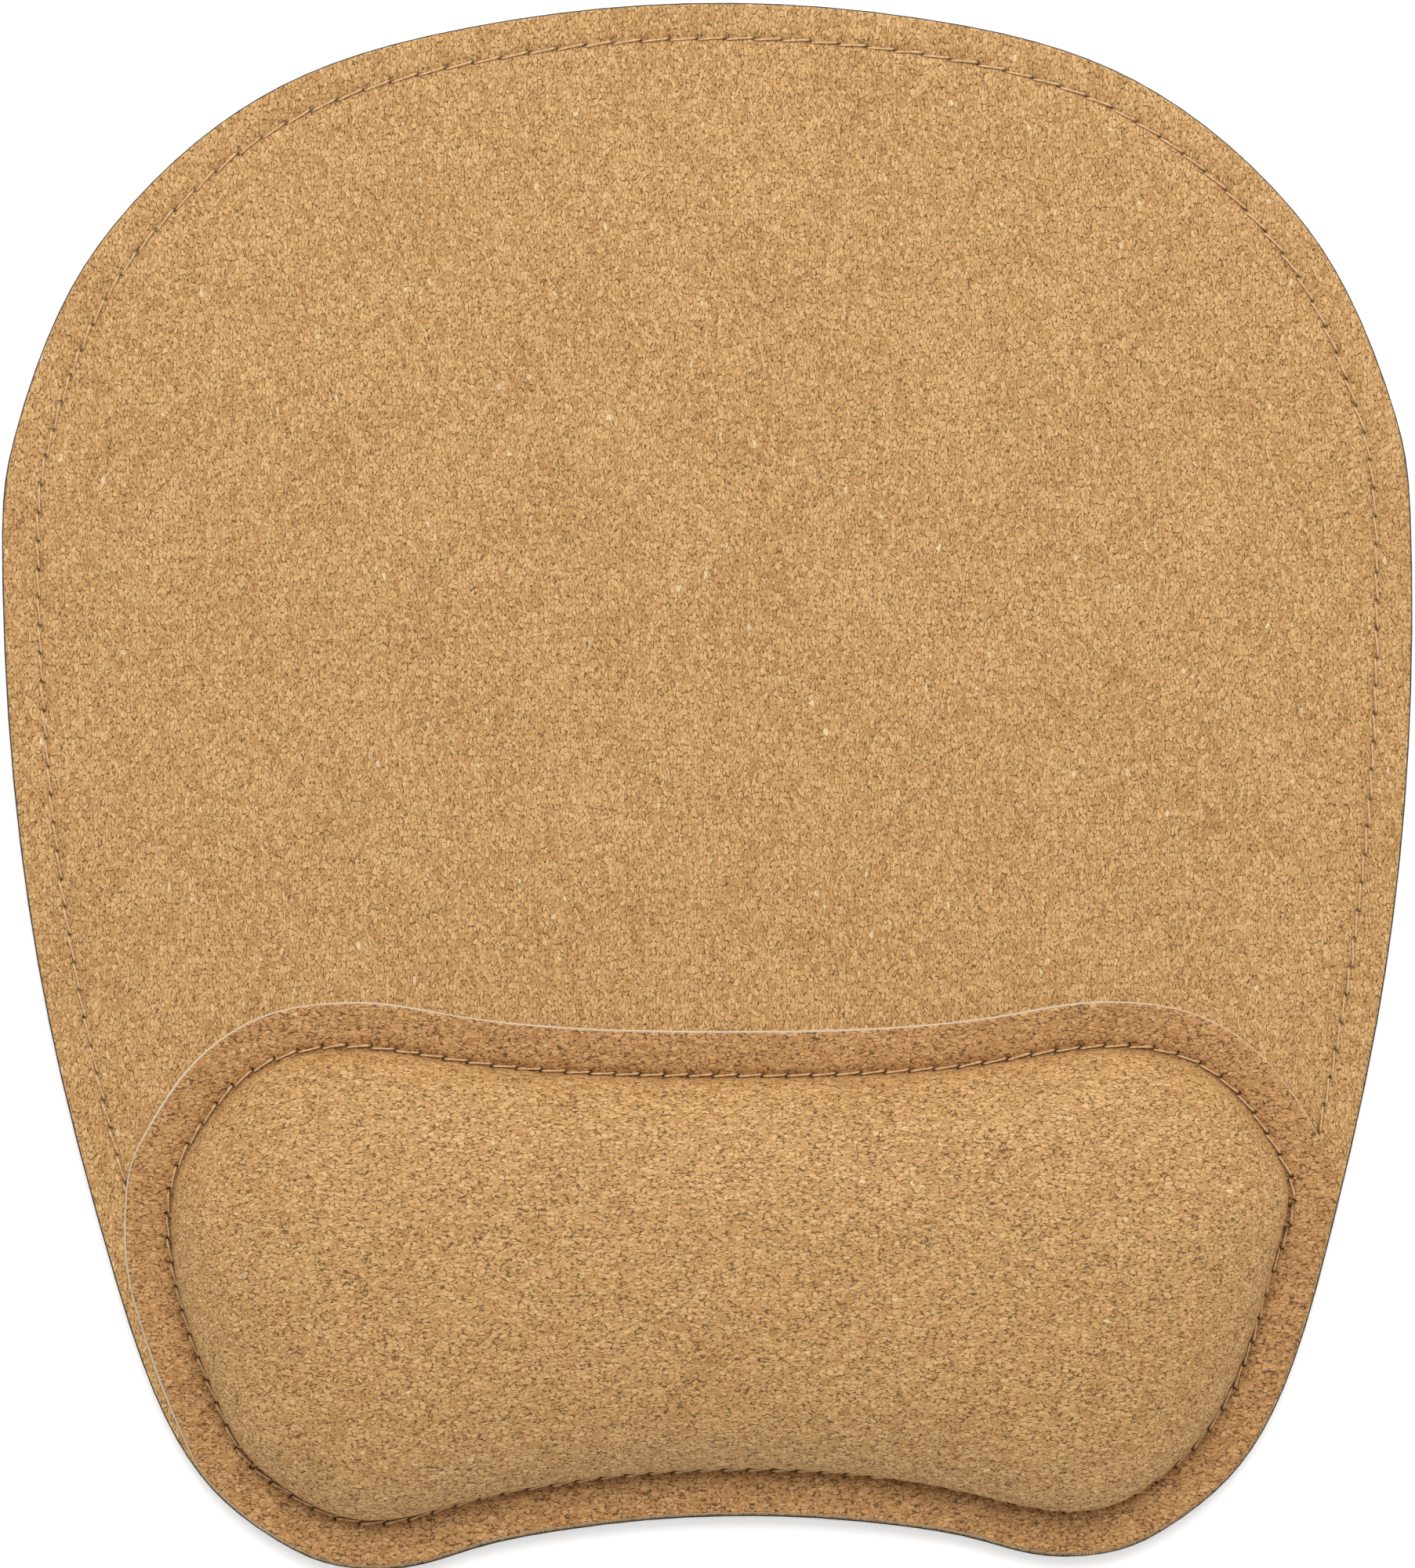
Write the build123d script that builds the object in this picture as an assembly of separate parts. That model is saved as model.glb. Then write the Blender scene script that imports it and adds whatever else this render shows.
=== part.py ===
"""A cork desk mat with a padded wrist rest sewn on along its near edge.

Frame: millimetres, +Z up, +Y towards the far edge, the origin on the table under the
middle of the mat. Every sheet is cut to shape, punched at each stitch and held by real
stitches: an upper thread from above and a lower thread from below meet in each hole.
"""

from build123d import *

import os
from math import atan2, cos, degrees, radians, sin

# ---- driving dimensions -------------------------------------------------------------

MAT_WIDTH = 225.0
MAT_DEPTH = 249.0

BASE_THICKNESS = 1.5
CORE_THICKNESS = 1.0
BACKING_THICKNESS = 0.3
CORK_THICKNESS = 0.8

MAT_EDGE_STEP = 0.6  # the mat's upper sheets stop this far inside the base sheet
REST_EDGE_STEP = 0.4  # and the rest's flange this far inside the mat's cork

# The far part of the outline: how far in from the side, how far down from the far edge.
WIDEST_FROM_FAR = 90.5
FAR_STATIONS = [(75.0, 3.4), (45.3, 12.3), (21.1, 31.1), (11.9, 43.5), (2.0, 68.5)]

# The near part: how far in from the side, how far up from the lowest points.
FLANK_STATIONS = [(6.4, 86.9), (15.3, 49.4), (21.1, 30.7), (32.0, 12.0), (41.8, 4.4)]
LOBE_FROM_SIDE = 58.0
RECESS_STATIONS = [(72.5, 3.05), (87.5, 5.8)]
RECESS_DEPTH = 7.45

# The wrist rest, in its own frame, measured from its middle and from its near side.
REST_FROM_MAT_SIDE = 16.2  # from the mat's widest line to the rest's, each side
REST_WIDTH = MAT_WIDTH - 2 * REST_FROM_MAT_SIDE
REST_DEPTH = 89.4
REST_WIDEST_UP = 52.5
REST_TURNED_ABOUT = 46.5  # from the mat's near edge to the point that the rest is turned about
REST_MIDDLE_DIP = 4.7
REST_PEAK_FROM_SIDE = 36.3
REST_DIP_STATION = (51.3, 1.9)
REST_SHOULDER_STATIONS = [(19.5, 3.2), (9.5, 11.2), (2.8, 21.5)]
REST_FLANK_STATIONS = [(2.5, 38.5), (9.7, 19.5)]
REST_LOBE_FROM_SIDE = 40.0
REST_SHIFT = 1.8
REST_TURN = -1.0

REST_HEIGHT = 20.0  # the top of the cushion above the table
RIM_WIDTH = 6.8  # from the flange's cut edge to the seam
CUSHION_ROUNDING = 11.0  # the large rounding of the cushion's top edge
CUSHION_FROM_SEAM = 1.1  # from the seam to the foot of the cushion

THREAD_THICKNESS = 0.5
HOLE_DIAMETER = 1.2
GROOVE_WIDTH = 1.5  # the furrow along each seam, a little wider than the holes
EDGE_SEAM_INSET = 5.9
EDGE_STITCH = 4.5
REST_STITCH = 3.9
EDGE_SEAM_TUCK = 2.5  # how far the edge seam runs in under the flange before it stops
THREAD_CLEARANCE = 0.1
LEG_SPACING = 0.56  # between the legs of neighbouring stitches in one hole

# ---- derived heights ----------------------------------------------------------------

CORE_BOTTOM = BASE_THICKNESS
MAT_BACKING_BOTTOM = CORE_BOTTOM + CORE_THICKNESS
MAT_CORK_BOTTOM = MAT_BACKING_BOTTOM + BACKING_THICKNESS
MAT_TOP = MAT_CORK_BOTTOM + CORK_THICKNESS
FLANGE_CORK_BOTTOM = MAT_TOP + BACKING_THICKNESS
FLANGE_TOP = FLANGE_CORK_BOTTOM + CORK_THICKNESS

FABRIC_FROM_SEAM = CUSHION_FROM_SEAM + CORK_THICKNESS
FOAM_FROM_SEAM = FABRIC_FROM_SEAM + BACKING_THICKNESS

BASE_GROOVE_DEPTH = THREAD_THICKNESS + THREAD_CLEARANCE
# Points that carry an inset outline round its whole length. The rest's seam line has the
# fewest, which eases it past the corners where the flange is trimmed.
MAT_OUTLINE_POINTS = 100
REST_LINE_POINTS = 40
REST_OUTLINE_POINTS = 64
DOME_STEPS = 6


# ---- outlines -----------------------------------------------------------------------


def closed_face(right_half):
    """A face bounded by a right half outline and its mirror image."""
    half = Curve() + right_half
    return make_face(half + mirror(half, Plane.YZ)).face()


def mat_outline():
    """The whole mat, centred on the origin."""
    side = MAT_WIDTH / 2
    far = MAT_DEPTH / 2
    near = -MAT_DEPTH / 2
    widest = (side, far - WIDEST_FROM_FAR)
    lobe = (side - LOBE_FROM_SIDE, near)
    far_points = [(side - inward, far - down) for inward, down in FAR_STATIONS]
    flank_points = [(side - inward, near + up) for inward, up in FLANK_STATIONS]
    recess_points = [(side - inward, near + up) for inward, up in RECESS_STATIONS]
    return closed_face(
        [
            Spline((0, far), *far_points, widest, tangents=[(1, 0), (0, -1)]),
            Spline(widest, *flank_points, lobe, tangents=[(0, -1), (-1, 0)]),
            Spline(lobe, *recess_points, (0, near + RECESS_DEPTH), tangents=[(-1, 0), (-1, 0)]),
        ]
    )


def rest_outline():
    """The wrist rest before its near side is trimmed along the mat's edge."""
    side = REST_WIDTH / 2
    near = -MAT_DEPTH / 2
    far = near + REST_DEPTH
    widest = (side, near + REST_WIDEST_UP)
    peak = (side - REST_PEAK_FROM_SIDE, far)
    lobe = (side - REST_LOBE_FROM_SIDE, near)
    dip = (side - REST_DIP_STATION[0], far - REST_DIP_STATION[1])
    shoulder_points = [(side - inward, far - down) for inward, down in REST_SHOULDER_STATIONS]
    flank_points = [(side - inward, near + up) for inward, up in REST_FLANK_STATIONS]
    own = closed_face(
        [
            Spline((0, far - REST_MIDDLE_DIP), dip, peak, tangents=[(1, 0), (1, 0)]),
            Spline(peak, *shoulder_points, widest, tangents=[(1, 0), (0, -1)]),
            Spline(widest, *flank_points, lobe, tangents=[(0, -1), (-1, 0)]),
            Line(lobe, (0, near)),
        ]
    )
    turning_point = near + REST_TURNED_ABOUT
    placed = Pos(REST_SHIFT, turning_point) * Rot(0, 0, REST_TURN) * Pos(0, -turning_point)
    return placed * own


def inset(outline, distance, points=MAT_OUTLINE_POINTS):
    """The outline moved inwards by a distance, as one smooth closed curve."""
    wire = outline.outer_wire()
    to_middle = outline.center() - wire.position_at(0)
    anticlockwise = wire.tangent_at(0).cross(to_middle).Z > 0
    quarter_turn = 90 if anticlockwise else -90
    moved = []
    for index in range(points):
        share = index / points
        inwards = wire.tangent_at(share).rotate(Axis.Z, quarter_turn)
        moved.append(wire.position_at(share) + inwards * distance)
    return make_face(Spline(*moved, periodic=True)).face()


# ---- seams --------------------------------------------------------------------------


class Seam:
    """A line of stitches: the holes, and the pairs of holes that have a stitch between."""

    def __init__(self, outline, stitch_length, points, left_out=None):
        self.outline = outline
        self.points = points
        line = outline.outer_wire()
        count = round(line.length / stitch_length)
        places = [line.position_at(index / count) for index in range(count)]
        sewn_here = [left_out is None or not left_out.is_inside(place) for place in places]
        self.holes = [place for place, kept in zip(places, sewn_here) if kept]
        self.steps = [
            (places[index - 1], places[index])
            for index in range(count)
            if sewn_here[index - 1] and sewn_here[index]
        ]
        self.pitch = sum((end - start).length for start, end in self.steps) / len(self.steps)

    def stitch_places(self):
        """The middle of each stitch and its turn about Z, at height 0."""
        places = []
        for start, end in self.steps:
            along = end - start
            turn = degrees(atan2(along.Y, along.X))
            places.append(Pos((start + end) / 2) * Rot(0, 0, turn))
        return places

    def hole_edges(self):
        """The round edge of each hole."""
        return [(Pos(hole) * Circle(HOLE_DIAMETER / 2)).wire() for hole in self.holes]

    def band(self):
        """The outer and the inner limit of the furrow that the stitches are pulled into."""
        return self.beside(-GROOVE_WIDTH / 2), self.beside(GROOVE_WIDTH / 2)

    def beside(self, distance):
        """The line of the seam moved inwards by a distance."""
        return inset(self.outline, distance, self.points)


def stitches(seam, run_height, leg_height):
    """All the stitches of one thread: a run along the surface and a leg down each hole."""
    half_span = (seam.pitch - LEG_SPACING) / 2
    path = Polyline(
        (-half_span, 0, leg_height),
        (-half_span, 0, run_height),
        (half_span, 0, run_height),
        (half_span, 0, leg_height),
    )
    section = Plane(path @ 0, z_dir=path % 0) * Circle(THREAD_THICKNESS / 2)
    stitch = sweep(section, path, transition=Transition.RIGHT)
    return Compound(children=[place * stitch for place in seam.stitch_places()])


def needle_thread(seam, surface, middle):
    """The upper thread, pulled flush into its furrow, its legs down to mid-height."""
    run_height = surface - THREAD_THICKNESS / 2
    return stitches(seam, run_height, middle + THREAD_CLEARANCE)


def bobbin_thread(seam, middle):
    """The lower thread, hidden in its furrow, its legs up to mid-height."""
    run_height = BASE_GROOVE_DEPTH - THREAD_THICKNESS / 2
    return stitches(seam, run_height, middle - THREAD_CLEARANCE)


# ---- sheets -------------------------------------------------------------------------


def ring(outer, inner, holes=()):
    """The flat face between two closed outlines, punched with holes."""
    return Face(outer.outer_wire(), [inner.outer_wire(), *holes])


def at(level, faces):
    """Flat faces lifted to a height."""
    return [Pos(0, 0, level) * face for face in faces]


def walls(faces, low, high):
    """The upright faces round flat shapes, holes and all, between two heights."""
    upright = []
    for face in faces:
        body = Pos(0, 0, min(low, high)) * extrude(face, abs(high - low))
        upright += [side for side in body.faces() if abs(side.normal_at().Z) < 0.5]
    return upright


def sewn(faces):
    """One solid from the faces that close it."""
    return Solid(Shell(faces))


def plain_sheet(full, bottom, thickness):
    """A flat sheet of even thickness."""
    return Pos(0, 0, bottom) * extrude(full, thickness)


def furrowed_faces(full, lands, floors, flat_level, floor_level, open_level):
    """The rims, holes and furrow floors of a sheet, without its two flat sides."""
    return (
        walls([full], flat_level, floor_level)
        + walls(lands, floor_level, open_level)
        + at(floor_level, floors)
    )


# ---- the cushion --------------------------------------------------------------------


def dome(seam, from_seam, bottom, top, rounding):
    """The raised cushion over an outline inside the seam: upright foot, rounded shoulder."""
    sections = []
    for step in range(DOME_STEPS + 1):
        angle = radians(90 * step / DOME_STEPS)
        inward = from_seam + rounding * (1 - cos(angle))
        height = bottom + (top - bottom) * sin(angle)
        sections.append(Pos(0, 0, height) * seam.beside(inward))
    return loft(sections)


def cork_dome(seam):
    """The body under the cushion's outer surface."""
    return dome(seam, CUSHION_FROM_SEAM, FLANGE_TOP, REST_HEIGHT, CUSHION_ROUNDING)


def fabric_dome(seam):
    """The body under the cork of the cushion."""
    top = REST_HEIGHT - CORK_THICKNESS
    rounding = CUSHION_ROUNDING - CORK_THICKNESS
    return dome(seam, FABRIC_FROM_SEAM, FLANGE_CORK_BOTTOM, top, rounding)


def foam_dome(seam):
    """The foam itself, which fills the cover."""
    top = REST_HEIGHT - CORK_THICKNESS - BACKING_THICKNESS
    rounding = CUSHION_ROUNDING - CORK_THICKNESS - BACKING_THICKNESS
    return dome(seam, FOAM_FROM_SEAM, MAT_TOP, top, rounding)


def without_bottom(body):
    """All the faces of a body but its lowest."""
    faces = body.faces().sort_by(Axis.Z)
    return list(faces[1:])


# ---- the mat ------------------------------------------------------------------------


def build():
    """Every piece of the mat by the name of its node."""
    base_outline = mat_outline()
    sheet_outline = inset(base_outline, MAT_EDGE_STEP)
    flange_limit = inset(base_outline, MAT_EDGE_STEP + REST_EDGE_STEP)
    flange_outline = (rest_outline() & flange_limit).face()

    # The edge seam stops under the flange, where the rest's own seam takes over.
    edge_line = inset(base_outline, EDGE_SEAM_INSET)
    under_flange = inset(flange_outline, EDGE_SEAM_TUCK)
    edge_seam = Seam(edge_line, EDGE_STITCH, MAT_OUTLINE_POINTS, under_flange)
    edge_holes = edge_seam.hole_edges()
    furrow_end = inset(flange_outline, EDGE_SEAM_TUCK + HOLE_DIAMETER)
    edge_furrow = (ring(*edge_seam.band()) - furrow_end).face()
    edge_floor = Face(edge_furrow.outer_wire(), edge_holes)

    rest_line = inset(flange_outline, RIM_WIDTH, REST_LINE_POINTS)
    rest_seam = Seam(rest_line, REST_STITCH, REST_OUTLINE_POINTS)
    rest_holes = rest_seam.hole_edges()
    rest_outer, rest_inner = rest_seam.band()
    rest_floor = ring(rest_outer, rest_inner, rest_holes)

    # The base, furrowed below so that the lower threads stay clear of the table.
    base_full = Face(base_outline.outer_wire(), edge_holes + rest_holes)
    base_lands = [ring(base_outline, edge_furrow, [rest_outer.outer_wire()]), rest_inner]
    base_floors = [edge_floor, rest_floor]
    base_sheet = sewn(
        at(BASE_THICKNESS, [base_full])
        + furrowed_faces(base_full, base_lands, base_floors, BASE_THICKNESS, BASE_GROOVE_DEPTH, 0)
        + base_lands
    )

    # The flat sheets of the mat, and its cork with a furrow for the edge stitches.
    mat_full = Face(sheet_outline.outer_wire(), edge_holes + rest_holes)
    mat_land = ring(sheet_outline, edge_furrow, rest_holes)
    mat_floor_level = MAT_TOP - THREAD_THICKNESS
    mat_cork = sewn(
        at(MAT_CORK_BOTTOM, [mat_full])
        + furrowed_faces(
            mat_full, [mat_land], [edge_floor], MAT_CORK_BOTTOM, mat_floor_level, MAT_TOP
        )
        + at(MAT_TOP, [mat_land])
    )

    # The cover of the rest: cork, furrowed above for the rest's stitches, over fabric.
    flange_full = Face(flange_outline.outer_wire(), rest_holes)
    cork_rim = ring(flange_outline, rest_outer)
    cork_valley = ring(rest_inner, rest_seam.beside(CUSHION_FROM_SEAM))
    under_cork = [ring(flange_outline, rest_seam.beside(FABRIC_FROM_SEAM), rest_holes)]
    rest_floor_level = FLANGE_TOP - THREAD_THICKNESS
    rest_cork = sewn(
        at(FLANGE_CORK_BOTTOM, under_cork)
        + furrowed_faces(
            flange_full,
            [cork_rim, rest_inner],
            [rest_floor],
            FLANGE_CORK_BOTTOM,
            rest_floor_level,
            FLANGE_TOP,
        )
        + at(FLANGE_TOP, [cork_rim, cork_valley])
        + without_bottom(cork_dome(rest_seam))
        + without_bottom(fabric_dome(rest_seam))
    )
    on_the_mat = [ring(flange_outline, rest_seam.beside(FOAM_FROM_SEAM), rest_holes)]
    rest_backing = sewn(
        at(FLANGE_CORK_BOTTOM, under_cork)
        + walls([flange_full], MAT_TOP, FLANGE_CORK_BOTTOM)
        + at(MAT_TOP, on_the_mat)
        + without_bottom(fabric_dome(rest_seam))
        + without_bottom(foam_dome(rest_seam))
    )

    mat_middle = MAT_TOP / 2
    rest_middle = FLANGE_TOP / 2
    return {
        "base_sheet": base_sheet,
        "core_sheet": plain_sheet(mat_full, CORE_BOTTOM, CORE_THICKNESS),
        "mat_backing": plain_sheet(mat_full, MAT_BACKING_BOTTOM, BACKING_THICKNESS),
        "mat_cork": mat_cork,
        "edge_needle_thread": needle_thread(edge_seam, MAT_TOP, mat_middle),
        "edge_bobbin_thread": bobbin_thread(edge_seam, mat_middle),
        "rest_foam": foam_dome(rest_seam),
        "rest_backing": rest_backing,
        "rest_cork": rest_cork,
        "rest_needle_thread": needle_thread(rest_seam, FLANGE_TOP, rest_middle),
        "rest_bobbin_thread": bobbin_thread(rest_seam, rest_middle),
    }


os.makedirs("parts", exist_ok=True)
for node, piece in build().items():
    export_step(piece, f"parts/{node}.step")
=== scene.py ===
"""The looks of a cork desk mat with a padded wrist rest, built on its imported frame."""

import math

import bmesh
import bpy
import numpy as np
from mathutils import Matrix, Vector, noise


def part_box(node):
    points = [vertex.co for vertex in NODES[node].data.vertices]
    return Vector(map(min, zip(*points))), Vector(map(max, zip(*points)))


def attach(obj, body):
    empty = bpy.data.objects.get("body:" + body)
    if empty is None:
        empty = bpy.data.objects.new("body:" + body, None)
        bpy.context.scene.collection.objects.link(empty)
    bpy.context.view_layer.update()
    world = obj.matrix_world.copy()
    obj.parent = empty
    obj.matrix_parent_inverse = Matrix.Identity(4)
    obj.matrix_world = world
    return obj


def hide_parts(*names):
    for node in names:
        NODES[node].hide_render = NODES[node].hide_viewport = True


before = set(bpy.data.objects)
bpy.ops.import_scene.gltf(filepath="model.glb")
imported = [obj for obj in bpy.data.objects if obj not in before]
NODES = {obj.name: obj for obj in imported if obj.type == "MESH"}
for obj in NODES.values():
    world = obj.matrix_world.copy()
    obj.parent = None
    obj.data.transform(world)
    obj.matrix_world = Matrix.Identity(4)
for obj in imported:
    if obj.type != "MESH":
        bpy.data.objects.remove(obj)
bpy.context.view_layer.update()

bl_info = {
    "name": "Cork desk mat",
    "version": (1, 0, 0),
    "blender": (4, 5, 0),
    "location": "View3D > Sidebar > Desk mat",
    "description": "Cork skins, stitching, cushion and studio of a desk mat with a wrist rest",
    "category": "Object",
}

MM = 0.001
WELD_DISTANCE = 0.2e-6
LEVEL_TOLERANCE = 0.02 * MM
STEEP_NORMAL = 0.5
CURVE_PIECES = 12
SMOOTH_ANGLE = math.radians(50)


# ---- settings -----------------------------------------------------------------------


def length(name, description, default):
    return bpy.props.FloatProperty(
        name=name, description=description, default=default, unit="LENGTH"
    )


def colour(name, description, default):
    return bpy.props.FloatVectorProperty(
        name=name, description=description, default=default, size=3, subtype="COLOR"
    )


def factor(name, description, default):
    return bpy.props.FloatProperty(name=name, description=description, default=default)


class CorkSettings(bpy.types.PropertyGroup):
    """The cork skins."""

    granule: length("Granule", "Width of one cork granule", 0.56 * MM)
    stretch: factor("Stretch", "Length of a granule over its width", 1.75)
    light: colour("Light cork", "The palest granules", (0.70, 0.43, 0.185))
    middle: colour("Middle cork", "Most granules", (0.53, 0.295, 0.105))
    dark: colour("Dark cork", "The darkest granules", (0.35, 0.17, 0.05))
    bark: colour("Bark", "Crevices and bark specks", (0.05, 0.02, 0.007))
    fleck: colour("Fleck", "Pale flecks", (0.86, 0.68, 0.42))


class MatSettings(bpy.types.PropertyGroup):
    """The flat of the mat."""

    loop_points: bpy.props.IntProperty(
        name="Rim points", description="Points round the mat's rim", default=1020
    )
    furrow_depth: length("Furrow depth", "How deep the edge seam pulls in the cork", 0.38 * MM)
    furrow_width: length("Furrow width", "Half width of the edge seam's furrow", 0.9 * MM)
    hole_depth: length("Hole depth", "How deep each needle hole dips", 0.66 * MM)


class RestSettings(bpy.types.PropertyGroup):
    """The wrist rest."""

    loop_points: bpy.props.IntProperty(
        name="Rim points", description="Points round the rest's rim", default=920
    )
    fullness: factor("Fullness", "How square the cushion's section is", 2.3)
    bulge: length("Bulge", "How far the cushion hangs over its seam", 0.35 * MM)
    slump: length("Slump", "Extra overhang where the filling has settled", 0.9 * MM)
    valley: length("Valley", "How deep the seam pulls the cover in", 0.55 * MM)
    corner_rounding: factor(
        "Corner rounding", "Rounding of the seam's corners, in points of the rim", 9.0
    )
    fray: length("Fray", "How far the lining shows past the cork's rim", 0.33 * MM)


class ThreadSettings(bpy.types.PropertyGroup):
    """The sewing thread."""

    thickness: length("Thickness", "Thickness of the thread", 0.44 * MM)
    rise: length("Rise", "How far a stitch stands out of its furrow", 0.30 * MM)
    slant: bpy.props.FloatProperty(
        name="Slant",
        description="Turn of each stitch against its seam",
        default=math.radians(6),
        subtype="ANGLE",
    )
    thread_colour: colour("Thread", "Colour of the thread", (0.80, 0.52, 0.27))


class StudioSettings(bpy.types.PropertyGroup):
    """The floor, the lights and the camera."""

    floor_colour: colour("Floor", "Colour of the floor", (0.93, 0.93, 0.93))
    floor_glow: factor("Floor glow", "How much light the floor gives off", 0.28)
    key: factor("Key light", "Power of the light beyond the far edge, in watts", 13.0)
    fill: factor("Fill light", "Strength of the surroundings", 0.665)
    camera_height: length("Camera height", "From the mat's top to the camera", 0.936)
    field_width: length("Field width", "Width that the camera sees at the mat", 0.2253)
    roll: bpy.props.FloatProperty(
        name="Roll",
        description="Turn of the camera",
        default=math.radians(-1.0575),
        subtype="ANGLE",
    )
    aim: bpy.props.FloatVectorProperty(
        name="Aim",
        description="Where the camera looks on the mat",
        default=(-0.57 * MM, -0.16 * MM, 0.0),
        size=3,
        subtype="TRANSLATION",
    )


# ---- reading the frame --------------------------------------------------------------


def merged(node):
    """A welded copy of a CAD node's mesh, for measuring."""
    copy = bmesh.new()
    copy.from_mesh(NODES[node].data)
    bmesh.ops.remove_doubles(copy, verts=copy.verts, dist=WELD_DISTANCE)
    return copy


def outline(node, level):
    """The longest closed edge of a CAD node at a height, as points in order."""
    copy = merged(node)
    near = {}
    for edge in copy.edges:
        if any(abs(vert.co.z - level) > LEVEL_TOLERANCE for vert in edge.verts):
            continue
        steep = [abs(face.normal.z) < STEEP_NORMAL for face in edge.link_faces]
        if any(steep) and not all(steep):
            start, end = edge.verts
            near.setdefault(start, []).append(end)
            near.setdefault(end, []).append(start)
    loops = []
    left = set(near)
    while left:
        point = min(left, key=lambda vert: vert.index)
        loop = []
        while point is not None:
            loop.append(point)
            left.discard(point)
            point = next((vert for vert in near[point] if vert in left), None)
        loops.append(np.array([vert.co.to_tuple() for vert in loop])[:, :2])
    copy.free()
    return max(loops, key=lambda points: np.prod(np.ptp(points, axis=0)))


def curved(points):
    """A smooth closed curve through the corners of an outline, as short straight pieces."""
    ahead = np.roll(points, -1, axis=0) - points
    after = np.hypot(*ahead.T)[:, None]
    before = np.roll(after, 1, axis=0)
    slope = ahead / after
    tangent = (np.roll(slope, 1, axis=0) * after + slope * before) / (after + before)
    t = np.linspace(0, 1, CURVE_PIECES, endpoint=False)[None, :, None]
    start, way = points[:, None], (after * tangent)[:, None]
    end, way_end = np.roll(start, -1, axis=0), (after * np.roll(tangent, -1, axis=0))[:, None]
    curve = (2 * t**3 - 3 * t**2 + 1) * start + (t**3 - 2 * t**2 + t) * way
    curve += (3 * t**2 - 2 * t**3) * end + (t**3 - t**2) * way_end
    return curve.reshape(-1, 2)


def even(points, count):
    """A closed outline divided evenly, anticlockwise, starting at its rightmost point."""
    points = curved(points)
    area = np.sum(
        points[:, 0] * np.roll(points[:, 1], -1) - np.roll(points[:, 0], -1) * points[:, 1]
    )
    if area < 0:
        points = points[::-1]
    points = np.roll(points, -int(points[:, 0].argmax()), axis=0)
    closed = np.vstack([points, points[:1]])
    steps = np.hypot(*np.diff(closed, axis=0).T)
    travelled = np.concatenate([[0], np.cumsum(steps)])
    wanted = np.linspace(0, travelled[-1], count, endpoint=False)
    return np.column_stack([np.interp(wanted, travelled, closed[:, axis]) for axis in (0, 1)])


def stitch_places(node):
    """Each stitch of a thread node: its middle, its direction and its length along the seam."""
    copy = merged(node)
    left = set(copy.verts)
    places = []
    while left:
        island = {left.pop()}
        edge_of_island = set(island)
        while edge_of_island:
            reached = {
                edge.other_vert(vert) for vert in edge_of_island for edge in vert.link_edges
            }
            edge_of_island = reached - island
            island |= edge_of_island
        left -= island
        points = np.array(sorted(vert.co.to_tuple() for vert in island))[:, :2]
        middle = (points.max(axis=0) + points.min(axis=0)) / 2
        offsets = points - points.mean(axis=0)
        direction = np.linalg.eigh(offsets.T @ offsets)[1][:, 1]
        spread = offsets @ direction
        places.append((middle, direction, np.ptp(spread)))
    copy.free()
    return places


def distances(points, others):
    """The distance from each point to the nearest of the others."""
    gaps = [np.hypot(*(others - point).T).min() for point in points]
    return np.array(gaps)


def needle_holes(places, spacing):
    """The holes at both ends of each stitch."""
    ends = [
        middle + side * direction * spacing / 2
        for middle, direction, _ in places
        for side in (-1, 1)
    ]
    return np.array(ends)


# ---- hand modelling helpers ---------------------------------------------------------


def nothing_selected():
    """Leaves edit mode and deselects everything."""
    if bpy.context.object and bpy.context.object.mode != "OBJECT":
        bpy.ops.object.mode_set(mode="OBJECT")
    bpy.ops.object.select_all(action="DESELECT")


def pick(piece):
    """Makes one piece the only one selected."""
    nothing_selected()
    piece.select_set(True)
    bpy.context.view_layer.objects.active = piece


def plate(name, points, height):
    """A flat face cut to an outline, ready in edit mode with its face selected."""
    nothing_selected()
    mesh = bpy.data.meshes.new(name)
    corners = [(x, y, height) for x, y in points]
    mesh.from_pydata(corners, [], [tuple(range(len(corners)))])
    piece = bpy.data.objects.new(name, mesh)
    bpy.context.collection.objects.link(piece)
    pick(piece)
    bpy.ops.object.mode_set(mode="EDIT")
    bpy.ops.mesh.select_mode(type="FACE")
    bpy.ops.mesh.select_all(action="SELECT")
    return piece


def inset_rings(piece, steps):
    """Insets the selected face once for each step.

    Returns the rings of points from the outermost inwards. Points with the same number
    lie side by side.
    """
    rings = []
    order = []
    for step in steps:
        bpy.ops.mesh.inset(thickness=step, depth=0, use_even_offset=True)
        edited = bmesh.from_edit_mesh(piece.data)
        edited.verts.index_update()
        edited.verts.ensure_lookup_table()
        face = next(face for face in edited.faces if face.select)
        order = order or [vert.index for vert in face.verts]
        inside = set(order)
        rings.append([])
        for index in order:
            vert = edited.verts[index]
            beside = [edge.other_vert(vert).index for edge in vert.link_edges]
            rings[-1].append(next(other for other in beside if other not in inside))
    return rings + [order]


def ring_points(piece, rings):
    """The places of the points of each ring, rings by points by three."""
    spots = np.empty(len(piece.data.vertices) * 3)
    piece.data.vertices.foreach_get("co", spots)
    return spots.reshape(-1, 3)[np.array(rings)]


def move_rings(piece, rings, places):
    """Puts the points of the rings where they belong."""
    spots = np.empty(len(piece.data.vertices) * 3)
    piece.data.vertices.foreach_get("co", spots)
    spots = spots.reshape(-1, 3)
    spots[np.array(rings).ravel()] = places.reshape(-1, 3)
    piece.data.vertices.foreach_set("co", spots.ravel())
    piece.data.update()


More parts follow.
